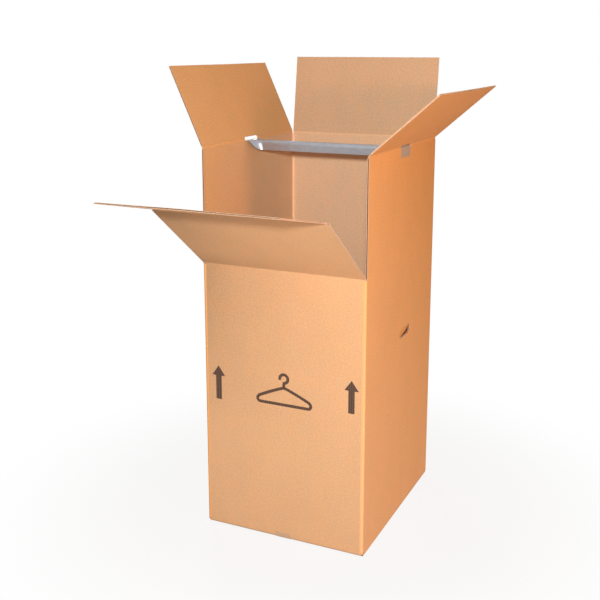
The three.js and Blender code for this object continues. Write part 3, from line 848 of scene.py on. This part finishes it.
def sheet_cells(kinds, along, heights, first):
    """Which cells of the grid are board: within the bottom flaps' sides, below the top folds and the
    drop fold, and outside the patches round the hand holes."""
    left, right = kinds[:-1], kinds[1:]
    middle = (along[:-1] + along[1:]) / 2
    end_cell = (left == right) & np.isin(left, ["front", "back"])
    side_cell = (left == right) & np.isin(left, ["left", "right"])
    front_kinds = ["front", "corner_front", "corner_right"]
    front_cell = np.isin(left, front_kinds) | np.isin(right, front_kinds)
    top_cell = side_cell & (np.abs(middle) < SIDE_FLAP_HALF)
    keep = np.ones((first + len(heights), len(middle)), bool)
    keep[:first] = (end_cell & (np.abs(middle) < END_FLAP_HALF)) | (
        side_cell & (np.abs(middle) < BOTTOM_FLAP_HALF))
    low = np.concatenate([np.full(first + 1, WALL_FEET[0]), heights[:-1]])
    keep[np.ix_(low > DROP_FOLD - CRUSH - MM, front_cell)] = False
    keep[np.ix_(low > END_FOLD - CRUSH - MM, ~top_cell)] = False
    beside_hole = np.abs(low + 0.1 * MM - HOLE_HEIGHT) < PATCH_RISE
    for wall, shift in HOLE_PLACE.items():
        keep[np.ix_(beside_hole, side_cell & (left == wall) & (np.abs(middle - shift) < PATCH_HALF))] = False
    return keep


def hole_rings(wall, grid, kinds, along, count, sizes):
    """Four rings of quads from the grid points round a patch to the hand hole's outline: their points
    on both faces, places on the paper, and quads. count is the number of points made before."""
    shift = HOLE_PLACE[wall]
    js = np.flatnonzero((kinds == wall) & (np.abs(along - shift) < PATCH_HALF + 0.1 * MM))
    rows = np.flatnonzero(np.abs(grid[:, js[0], 2] - HOLE_HEIGHT) < PATCH_RISE + 0.1 * MM)
    lower = [(rows[0], j) for j in js]
    rightmost = [(i, js[-1]) for i in rows[1:]]
    upper = [(rows[-1], j) for j in js[::-1][1:]]
    leftmost = [(i, js[0]) for i in rows[::-1][1:-1]]
    row, column = np.array(lower + rightmost + upper + leftmost).T
    x = along[column] - shift
    z = grid[row, column, 2] - HOLE_HEIGHT
    step = np.hypot(np.diff(x, append=x[0]), np.diff(z, append=z[0]))
    way = np.concatenate([[0], np.cumsum(step)[:-1]])
    quarter = HOLE_RADIUS * np.pi / 2
    long_run = 2 * (HOLE_HALF - HOLE_RADIUS) + quarter
    patch_run = np.cumsum([0, 2 * PATCH_HALF, 2 * PATCH_RISE, 2 * PATCH_HALF, 2 * PATCH_RISE])
    hx, hz = hole_outline(np.interp(way, patch_run, np.cumsum([0, long_run, quarter, long_run, quarter])))
    before = row * len(kinds) + column
    quads, xs, zs = [], [], []
    for ring, share in enumerate((0.3, 0.6, 0.85, 1.0)):
        now = count + ring * len(x) + np.arange(len(x))
        quads.append(np.stack([before, np.roll(before, -1), np.roll(now, -1), now], -1))
        xs.append(shift + x + (hx - x) * share)
        zs.append(HOLE_HEIGHT + z + (hz - z) * share)
        before = now
    x, z = np.concatenate(xs), np.concatenate(zs)
    outer = on_wall(wall, x, z, np.zeros(len(x)), sizes)
    inner = on_wall(wall, x, z, np.full(len(x), -sizes.board), sizes)
    return outer, inner, np.column_stack([x + PATCH_PAPER, z]), np.concatenate(quads)


def carton_sheet(sizes):
    """The folded sheet's points on both faces, their places on the paper, quads and colour values."""
    kinds, along, *plans = (np.array(column) for column in zip(*carton_columns(sizes)))
    heights = wall_heights()
    outer, inner, up_paper, first = sheet_faces(kinds, plans, heights, sizes.board)
    shape_walls(outer, inner, kinds, along, first, sizes)
    path = np.concatenate([[0], np.cumsum(np.linalg.norm(np.diff(plans[0], axis=0), axis=1))])
    flat = np.stack([np.broadcast_to(path, up_paper.shape), up_paper], -1)
    keep = sheet_cells(kinds, along, heights, first)
    quads = grid_quads(*up_paper.shape, keep)
    parts = [(outer.reshape(-1, 3), inner.reshape(-1, 3), flat.reshape(-1, 2), quads)]
    for wall in HOLE_PLACE:
        parts.append(hole_rings(wall, outer, kinds, along, sum(len(part[0]) for part in parts), sizes))
    outer_points, inner_points, flat, quads = (np.concatenate(values) for values in zip(*parts))
    painted_warmth, shading_and_creases = wall_colour(outer_points)
    inside = np.abs(outer_points[:, :2]) - (HALF_WIDTH - sizes.board, HALF_DEPTH - sizes.board)
    at_bead = np.clip(1.6 + inside.min(1) / (5 * MM), 0, 1)
    # Painted highlight on the inner face at the corner beads, stronger in the back corners
    shading_and_creases = np.stack([shading_and_creases, np.where(outer_points[:, 1] > 0, 3.6, 1.0) * at_bead])
    for face, amounts in enumerate((CORNER_SHADE_AND_HIGHLIGHT, CORNER_BEAD_HIGHLIGHT)):
        on_corner = np.array([amounts.get(kind, 0.0) for kind in kinds])
        shading_and_creases[face, :up_paper.size] += np.broadcast_to(on_corner, up_paper.shape).ravel()
    used, quads = np.unique(quads, return_inverse=True)
    quads = quads.reshape(-1, 4)
    return outer_points[used], inner_points[used], flat[used], quads, painted_warmth[used], shading_and_creases[:, used]


def hand_tab(wall, sizes, push_front, push_back):
    """The die-cut tab in a hand hole. A row at height w is as long as the stadium there; the tab
    swings in from its upper edge, by a push that changes from its front to its back end."""
    gap = 0.7 * MM
    radius = HOLE_RADIUS - gap
    rise = radius * np.sin(np.linspace(-np.pi / 2, np.pi / 2, 15))[:, None]
    reach = HOLE_HALF - HOLE_RADIUS + np.sqrt(np.maximum(radius ** 2 - rise ** 2, 0))
    along, height = np.broadcast_arrays(np.linspace(-1, 1, 31) * reach, rise)
    to_back = along * WALLS[wall][1][1] / HOLE_HALF
    push = push_front + (push_back - push_front) * (0.5 + 0.5 * to_back)
    depth = push * ((radius - height) / (2 * radius)) ** 1.1
    spots = HOLE_PLACE[wall] + along, HOLE_HEIGHT + height + 0.35 * MM
    outer = on_wall(wall, *spots, -0.2 * MM - depth, sizes).reshape(-1, 3)
    inner = on_wall(wall, *spots, -3.4 * MM - depth, sizes).reshape(-1, 3)
    flat = np.stack([along + TAB_PAPER, height], -1).reshape(-1, 2)
    return outer, inner, flat, grid_quads(*along.shape)


# Hanger bar: half its flat crown, its corners' radius and half the strip's developed width
BAR_CROWN = 5 * MM
BAR_RADIUS = 9 * MM
STRIP_HALF = 40 * MM


def strip_section(closing, stretch):
    """Half of the bar's section from its crown line outwards, as across, down and angle.

    The strip is flat at closing 0 and a channel at 1; a flat crown, an arc of constant length whose
    angle is closing times a quarter turn, and a straight leg keep its developed width."""
    crown, arc = BAR_CROWN, BAR_RADIUS * np.pi / 2
    leg = STRIP_HALF - crown - arc
    turn = np.maximum(closing, 1e-3) * np.pi / 2
    radius = arc / turn
    on_arc = np.clip((stretch - crown) / arc, 0, 1) * turn
    on_leg = np.clip(stretch - crown - arc, 0, leg)
    across = np.minimum(stretch, crown) + radius * np.sin(on_arc) + on_leg * np.cos(turn)
    down = radius * (1 - np.cos(on_arc)) + on_leg * np.sin(turn)
    return across, down, on_arc


def hanger_bar(sizes):
    """The strip's two faces, carried from hook to hook: each station has its place, heading and
    closing. The left half runs up the hook, round its bend, over the wall and along the span; the
    right half mirrors it."""
    half_sheet = sizes.steel / 2
    bar_middle = 1169.25 * MM
    radius, hook = 2 * MM, 28 * MM
    tab_x = -HALF_WIDTH - 0.8 * MM - half_sheet
    turns = np.radians(np.linspace(0, 90, 9))
    flare = np.linspace(0, 1, 29)
    flare_x = -HALF_WIDTH + 10 * MM + 42 * MM * flare
    span = np.linspace(flare_x[-1], 0, 12)[1:]
    down_tab = np.linspace(hook, 2 * MM, 5)
    x = np.concatenate([np.full(5, tab_x), tab_x + radius * (1 - np.cos(turns)), flare_x, span])
    z = np.concatenate([
        bar_middle - radius - down_tab, bar_middle - radius + radius * np.sin(turns),
        np.full(len(flare) + len(span), bar_middle)])
    heading = np.concatenate([np.full(5, np.pi / 2), np.pi / 2 - turns, np.zeros(len(flare) + len(span))])
    closing = np.concatenate([
        np.zeros(5 + len(turns)), flare * flare * (3 - 2 * flare), np.ones(len(span))])
    x = np.concatenate([x, -x[:-1][::-1]])
    z = np.concatenate([z, z[:-1][::-1]])
    heading = np.concatenate([heading, -heading[:-1][::-1]])
    closing = np.concatenate([closing, closing[:-1][::-1]])
    arc_end = BAR_CROWN + BAR_RADIUS * np.pi / 2
    stretch = np.concatenate([
        np.linspace(0, BAR_CROWN, 3), np.linspace(BAR_CROWN, arc_end, 10)[1:],
        np.linspace(arc_end, STRIP_HALF, 7)[1:]])
    across, down, angle = strip_section(closing[:, None], stretch[None, :])
    across = np.concatenate([-across[:, :0:-1], across], 1)
    down = np.concatenate([down[:, :0:-1], down], 1)
    angle = np.concatenate([-angle[:, :0:-1], angle], 1)
    lift = np.stack([-np.sin(heading), np.zeros_like(heading), np.cos(heading)], -1)
    middle = np.stack([x, np.zeros_like(x), z], -1)[:, None] - lift[:, None] * down[..., None]
    middle[..., 1] += across
    normal = lift[:, None] * np.cos(angle)[..., None]
    normal = normal + np.array([0.0, 1.0, 0.0]) * np.sin(angle)[..., None]
    return middle + normal * half_sheet, middle - normal * half_sheet


def plain_sheet(name, outer, inner, quads, finish, uv=None, values=None):
    """A closed thin sheet from two faces whose edges are joined straight across."""
    count = len(outer)
    edges = open_edges(quads)
    rim = np.stack([edges[:, 1], edges[:, 0], edges[:, 0] + count, edges[:, 1] + count], -1)
    faces = np.concatenate([quads, quads[:, ::-1] + count, rim])
    uvs = None if uv is None else np.concatenate([uv, uv])
    both = {key: np.concatenate([numbers, numbers]) for key, numbers in (values or {}).items()}
    return make_object(name, np.concatenate([outer, inner]), faces, np.zeros(len(faces)), [finish], uvs, both)


# Operators


def board_finishes(context):
    """The board finishes, made once: outside, inside, cut paper, fluting and the flutes' inside."""
    names = ("kraft_outside", "kraft_inside", "cut_paper", "fluted_paper", "flute_hollow")
    if names[0] not in bpy.data.materials:
        colours, sizes = context.scene.box_colours, context.scene.box_sizes
        kraft_finish(names[0], colours.kraft, colours.warm_kraft, sizes.pitch, 0.3)
        kraft_finish(names[1], colours.inner_kraft, colours.inner_warm, sizes.pitch, 0.25)
        cut_finish(names[2], colours.cut, 0.9)
        cut_finish(names[3], colours.medium, 0.92)
        cut_finish(names[4], colours.hollow, 0.95)
    return [bpy.data.materials[name] for name in names]


class BOX_OT_carton(Operator):
    """Build the folded sheet: walls, bottom flaps, glued corner and hand-hole tabs"""

    bl_idname = "box.carton"
    bl_label = "Carton"

    def execute(self, context):
        sizes = context.scene.box_sizes
        finishes = board_finishes(context)
        outer, inner, flat, quads, painted_warmth, shading_and_creases = carton_sheet(sizes)
        walls = board_piece("carton_sheet", outer, inner, flat, quads, sizes, finishes, painted_warmth, shading_and_creases)
        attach(walls, "box")
        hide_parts("carton")
        for wall, front, back in (("left", 5 * MM, 7 * MM), ("right", 1.0 * MM, 11 * MM)):
            # The hand tabs take painted warm light, more in the right wall
            tab = board_piece(
                f"{wall}_hand_tab", *hand_tab(wall, sizes, front, back), sizes, finishes,
                0.9 if wall == "right" else 0.6, recess=0.8 * MM)
            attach(tab, "box")
        return {"FINISHED"}


class BOX_OT_top_flaps(Operator):
    """Build the left, right and back top flaps with the creased board that carries them"""

    bl_idname = "box.top_flaps"
    bl_label = "Top flaps"

    def execute(self, context):
        sizes = context.scene.box_sizes
        finishes = board_finishes(context)
        # Painted warm light on the side flaps and their folds; less on the back flap and its fold
        for side, painted_warmth in (("left", 0.8), ("right", 0.75)):
            fold = FOLDS[side]
            flap_piece(f"{side}_flap_board", fold, SIDE_FLAP_HALF, SIDE_FLAP_LENGTH, 1.6 * MM, sizes,
                       finishes, painted_warmth, f"{side}_top_flap", slotted=True, open_sides=side == "left")
            for part, low, high in (("a", -SIDE_FLAP_HALF, -SLOT_HALF), ("b", SLOT_HALF, SIDE_FLAP_HALF)):
                fold_strip(f"{side}_fold_{part}", fold, low, high, sizes, finishes, painted_warmth)
        fold = FOLDS["back"]
        flap_piece("back_flap_board", fold, END_FLAP_HALF, END_FLAP_LENGTH, -1.6 * MM, sizes, finishes,
                   0.12, "back_top_flap", scores=[11 * MM, 26 * MM], shade=back_flap_shade)
        fold_strip("back_fold", fold, -END_FLAP_HALF, END_FLAP_HALF, sizes, finishes, 0.15)
        return {"FINISHED"}


class BOX_OT_drop_front(Operator):
    """Build the drop front and the top flap that hangs on it, with both folds"""

    bl_idname = "box.drop_front"
    bl_label = "Drop front"

    def execute(self, context):
        sizes = context.scene.box_sizes
        finishes = board_finishes(context)
        drop, front = FOLDS["drop"], FOLDS["front"]
        # Little painted warm light on the drop front, its flap and both folds; painted shade on the drop
        # front and its fold
        flap_piece("drop_panel_board", drop, PANEL_HALF, PANEL_LENGTH - CRUSH, 1.2 * MM, sizes, finishes,
                   0.13, "front_drop_panel", cut_end=False, shade=drop_front_shade)
        fold_strip("drop_fold", drop, -PANEL_HALF, PANEL_HALF, sizes, finishes, 0.1, drop_front_shade)
        flap_piece("front_flap_board", front, END_FLAP_HALF, END_FLAP_LENGTH, -1.6 * MM, sizes, finishes,
                   0.2, "front_top_flap")
        fold_strip("front_fold", front, -END_FLAP_HALF, END_FLAP_HALF, sizes, finishes, 0.2)
        return {"FINISHED"}


class BOX_OT_hanger_bar(Operator):
    """Build the bent steel strip that the hangers hang on"""

    bl_idname = "box.hanger_bar"
    bl_label = "Hanger bar"

    def execute(self, context):
        sizes = context.scene.box_sizes
        upper, lower = hanger_bar(sizes)
        rows, columns = upper.shape[:2]
        quads = grid_quads(rows, columns)[:, ::-1]
        spots = upper.reshape(-1, 3)
        dust = np.clip((np.abs(spots[:, 0]) - HALF_WIDTH + 14 * MM) / (6 * MM), 0, 1)
        bar = plain_sheet(
            "hanger_bar_strip", spots, lower.reshape(-1, 3), quads,
            steel_finish(context.scene.box_colours), values={"dust": dust})
        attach(bar, "box")
        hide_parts("hanger_bar")
        return {"FINISHED"}


class BOX_OT_tape(Operator):
    """Build the sealing tape under the bottom seam and up both ends"""

    bl_idname = "box.tape"
    bl_label = "Bottom tape"

    def execute(self, context):
        sizes = context.scene.box_sizes
        thin, reach, turn = 0.25 * MM, HALF_DEPTH + 0.35 * MM, 7.55 * MM
        half_run = reach - turn
        quarter = turn * np.pi / 2
        rise = 19 * MM - turn
        way = np.concatenate([
            np.linspace(0, half_run, 30), half_run + np.linspace(0, quarter, 9)[1:],
            half_run + quarter + np.linspace(0, rise, 6)[1:]])
        way = np.concatenate([-way[:0:-1], way])
        columns = 13
        across = np.linspace(-sizes.tape_width / 2, sizes.tape_width / 2, columns)
        far = np.abs(way)
        angle = np.clip((far - half_run) / turn, 0, np.pi / 2)
        over = np.clip(far - half_run - quarter, 0, None)
        y = np.sign(way) * (np.minimum(far, half_run) + turn * np.sin(angle))
        z = turn * (1 - np.cos(angle)) + over
        out = np.stack([np.zeros_like(y), np.sign(way) * np.sin(angle), -np.cos(angle)], -1)
        end = np.clip((far - (far.max() - 2 * MM)) / (2 * MM), 0, 1)[:, None]
        teeth = np.where(np.arange(columns) % 2, 0.9 * MM, 0)[None, :] * end
        spots = np.stack(np.broadcast_arrays(across, y[:, None], z[:, None] - teeth), -1)
        outer = spots.reshape(-1, 3)
        inner = (spots - out[:, None] * thin).reshape(-1, 3)
        tape = plain_sheet(
            "bottom_tape_strip", outer, inner, grid_quads(len(way), columns)[:, ::-1],
            tape_finish(context.scene.box_colours))
        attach(tape, "box")
        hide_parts("bottom_tape")
        return {"FINISHED"}


# Print, in millimetres: each arrow's middle, foot, neck and tip, and half the widths of what is drawn
ARROWS = ((-212, 413, 488, 519), (218, 439, 507, 537))
SHAFT_HALF = 9.5
HEAD_HALF = 22
SIGN_HALF = 4.6


class BOX_OT_print(Operator):
    """Build the print on the front: two arrows that point up and a coat hanger sign"""

    bl_idname = "box.print"
    bl_label = "Print"

    def execute(self, context):
        sizes = context.scene.box_sizes
        ink = ink_finish(context.scene.box_colours, sizes.pitch)
        for number, (middle, low, neck, tip) in enumerate(ARROWS, start=1):
            shaft = self.patch(np.linspace(low, neck, 8), np.full(8, SHAFT_HALF), middle)
            head = self.patch(np.linspace(neck, tip, 9), np.linspace(HEAD_HALF, 0.3, 9), middle)
            self.add(f"arrow_{number}", [shaft, head], sizes, ink)
        self.add("hanger_sign", self.hanger(), sizes, ink)
        return {"FINISHED"}

    @staticmethod
    def patch(height, half, middle):
        """A shape that is as wide as twice half at each height, in millimetres on the front."""
        across = middle + half[:, None] * np.linspace(-1, 1, 7)
        return np.stack(np.broadcast_arrays(across, height[:, None]), -1)

    @staticmethod
    def hanger():
        """A coat hanger drawn as ribbons of even width along its hook and its closed shoulder line."""
        def ribbon(line):
            step = unit(np.gradient(line, axis=0))
            side = np.stack([-step[:, 1], step[:, 0]], -1)
            return line[:, None] + side[:, None] * np.array([SIGN_HALF, 0, -SIGN_HALF])[:, None]

        x0, z0 = 6, 470
        turn = np.radians(np.linspace(200, -90, 26))
        hook = np.stack([x0 + 13 * np.cos(turn), z0 + 40 + 13 * np.sin(turn)], -1)
        neck = np.stack([np.full(5, float(x0)), np.linspace(z0 + 27, z0 + 12, 5)], -1)
        share = np.linspace(0, 1, 19)
        corner = np.radians(np.linspace(60, -90, 12))
        slope = np.stack([x0 + 82 * share, z0 + 12 - 34 * share ** 1.15], -1)
        bend = np.stack([x0 + 82 + 9 * np.cos(corner) - 4.5, z0 - 31 + 9 * np.sin(corner)], -1)
        lower = np.stack([np.linspace(x0 + 77, x0, 16), np.full(16, z0 - 40.0)], -1)
        right = np.concatenate([slope, bend, lower])
        left = np.stack([2 * x0 - right[:, 0], right[:, 1]], -1)
        hook = np.concatenate([hook, neck[1:]])
        return [ribbon(hook), ribbon(right), ribbon(left)[:, ::-1]]

    @staticmethod
    def add(name, shapes, sizes, ink):
        """Lays flat shapes on the front wall as one thin sheet of ink that follows its relief."""
        outer, inner, flat, quads, first = [], [], [], [], 0
        for shape in shapes:
            x, z = shape[..., 0] * MM, shape[..., 1] * MM
            outer.append(on_wall("front", x, z, np.full(x.shape, 0.14 * MM), sizes).reshape(-1, 3))
            inner.append(on_wall("front", x, z, np.full(x.shape, -0.2 * MM), sizes).reshape(-1, 3))
            flat.append(np.stack([x, z], -1).reshape(-1, 2))
            quad = grid_quads(*shape.shape[:2], first=first)
            corner = outer[-1][quad - first]
            facing = np.cross(corner[:, 1] - corner[:, 0], corner[:, 3] - corner[:, 0])[:, 1].sum()
            quads.append(quad if facing < 0 else quad[:, ::-1])
            first += x.size
        made = plain_sheet(name, np.concatenate(outer), np.concatenate(inner), np.concatenate(quads),
                           ink, np.concatenate(flat))
        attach(made, "box")


# Camera: where it looks, from which side, how high and how far, in metres and degrees
CAMERA_TARGET = (-0.0855, 0, 0.85705)
CAMERA_AZIMUTH = 24.847
CAMERA_ELEVATION = 11.817
CAMERA_DISTANCE = 2.9279
CAMERA_LENS = 922.2 / 600 * 36
CAMERA_SHIFT = -0.1

# Disk lights: place, aim, diameter, power and colour
LIGHTS = {
    "front_softbox": ((1.1, -2.62, 1.61), (0, -0.2, 0.8), 0.12, 64, (1.0, 1.0, 0.99)),
    "side_softbox": ((2.95, -1.78, 1.42), (0, 0, 0.95), 0.5, 30, (1.0, 0.45, 0.2)),
    "back_softbox": ((-1.9, 2.7, 1.15), (0, 0, 0.7), 1.2, 55, (1.0, 0.98, 0.95)),
}


class BOX_OT_stage(Operator):
    """Build the floor, the soft light and the camera"""

    bl_idname = "box.stage"
    bl_label = "Stage"

    def execute(self, context):
        scene = context.scene
        scene.view_settings.view_transform = "Standard"
        self.camera(scene)
        self.world(scene)
        self.floor()
        for name, values in LIGHTS.items():
            self.light(name, *values)
        return {"FINISHED"}

    @staticmethod
    def camera(scene):
        """The camera, a little above the box, its shift as small as the framing allows."""
        data = bpy.data.cameras.new("camera")
        data.sensor_width = 36
        data.lens = CAMERA_LENS
        data.shift_y = CAMERA_SHIFT
        made = bpy.data.objects.new("camera", data)
        scene.collection.objects.link(made)
        azimuth, elevation = math.radians(CAMERA_AZIMUTH), math.radians(CAMERA_ELEVATION)
        back = np.array([
            math.sin(azimuth) * math.cos(elevation), -math.cos(azimuth) * math.cos(elevation),
            math.sin(elevation)])
        made.location = np.array(CAMERA_TARGET) + back * CAMERA_DISTANCE
        made.rotation_euler = (math.pi / 2 - elevation, 0, azimuth)
        scene.camera = made

    @staticmethod
    def world(scene):
        """White where it is seen, and much dimmer where it lights the box."""
        s = Shader("studio", world=True)
        ambient = s.node("ShaderNodeBackground", {}, {"Color": (1, 1, 1, 1), "Strength": 0.27})
        white = s.node("ShaderNodeBackground", {}, {"Color": (1, 1, 1, 1), "Strength": 1.0})
        s.finish(s.node("ShaderNodeMixShader", {}, {0: s.seen(), 1: ambient, 2: white}))
        scene.world = s.data

    @staticmethod
    def floor():
        """A matt disk that mostly looks white, so that it takes a faint shadow near the box."""
        s = Shader("pale_floor")
        place = s.place()
        far = s.node("ShaderNodeVectorMath", {"operation": "LENGTH"}, {0: place}, out="Value")
        matt = s.node("ShaderNodeBsdfDiffuse", {}, {"Color": (0.72, 0.72, 0.72, 1)})
        white = s.node("ShaderNodeEmission", {}, {"Color": (1, 1, 1, 1), "Strength": 1.0})
        pale = 0.84 + 0.16 * far.step(0.45, 1.2)
        s.finish(s.node("ShaderNodeMixShader", {}, {0: s.seen() * pale, 1: matt, 2: white}))
        turn = np.linspace(0, 2 * np.pi, 65)
        ring = np.array([0.0, 0.5, 1.0, 2.0, 4.0, 9.0])[:, None]
        points = np.stack([ring * np.cos(turn), ring * np.sin(turn), np.full((6, 65), -0.4 * MM)], -1)
        quads = grid_quads(6, 65)[:, ::-1]
        made = make_object("floor", points.reshape(-1, 3), quads, np.zeros(len(quads)), [s.data])

    @staticmethod
    def light(name, spot, target, size, power, colour):
        """A disk light at a spot, turned so that it faces the target."""
        data = bpy.data.lights.new(name, "AREA")
        data.shape = "DISK"
        data.size = size
        data.energy = power
        data.color = colour
        made = bpy.data.objects.new(name, data)
        way = np.array(target, float) - np.array(spot, float)
        made.location = spot
        made.rotation_euler = (
            math.atan2(math.hypot(way[0], way[1]), -way[2]), 0, math.atan2(-way[0], way[1]))
        bpy.context.scene.collection.objects.link(made)


class BOX_PT_panel(Panel):
    """The box's pieces and settings in the sidebar"""

    bl_label = "Moving box"
    bl_idname = "BOX_PT_panel"
    bl_space_type = "VIEW_3D"
    bl_region_type = "UI"
    bl_category = "Moving box"

    def draw(self, context):
        for step in STEPS:
            self.layout.operator(step.bl_idname)
        for group in (context.scene.box_sizes, context.scene.box_colours):
            for name in group.bl_rna.properties.keys():
                if name not in ("rna_type", "name"):
                    self.layout.prop(group, name)


STEPS = (BOX_OT_stage, BOX_OT_carton, BOX_OT_top_flaps, BOX_OT_drop_front, BOX_OT_hanger_bar,
         BOX_OT_tape, BOX_OT_print)
CLASSES = (BoxSizes, BoxColours, *STEPS, BOX_PT_panel)


def register():
    for cls in CLASSES:
        bpy.utils.register_class(cls)
    bpy.types.Scene.box_sizes = PointerProperty(type=BoxSizes)
    bpy.types.Scene.box_colours = PointerProperty(type=BoxColours)


def unregister():
    del bpy.types.Scene.box_colours
    del bpy.types.Scene.box_sizes
    for cls in reversed(CLASSES):
        bpy.utils.unregister_class(cls)


def main():
    """Registers the add-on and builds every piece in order."""
    register()
    bpy.ops.box.stage()
    bpy.ops.box.carton()
    bpy.ops.box.top_flaps()
    bpy.ops.box.drop_front()
    bpy.ops.box.hanger_bar()
    bpy.ops.box.tape()
    bpy.ops.box.print()


if __name__ == "__main__":
    main()
